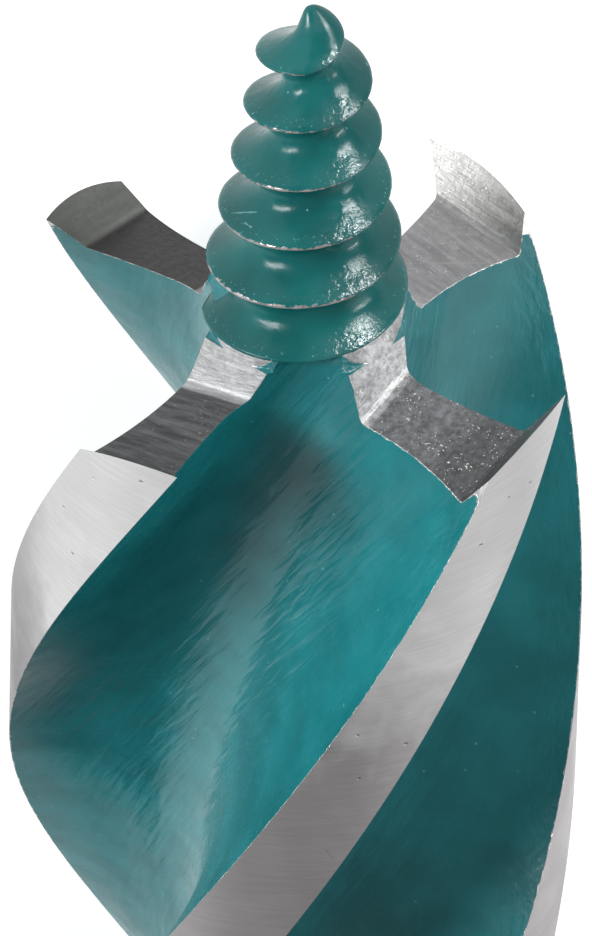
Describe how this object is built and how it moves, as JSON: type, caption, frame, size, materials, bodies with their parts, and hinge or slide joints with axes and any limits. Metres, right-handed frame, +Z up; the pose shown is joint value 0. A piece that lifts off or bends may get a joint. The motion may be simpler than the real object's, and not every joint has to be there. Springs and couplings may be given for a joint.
{
  "type": "wood drill bit",
  "caption": "Spiral-fluted wood drill bit with a tapered feed screw, ground spurs and cutting edges, a round neck and a hexagonal shank, lying on its side.",
  "frame": {"origin": "on the table, under the middle of the bit's box as it lies on its side", "axes": "+X along the bit's axis towards the feed screw's point, +Z up from the table"},
  "size_m": [0.16, 0.025, 0.025],
  "materials": {
    "lacquered_steel": "teal lacquer on steel, ground bare on the lands and on the end faces"
  },
  "bodies": {
    "root": {"drill_bit": "lacquered_steel"}
  },
  "joints": []
}
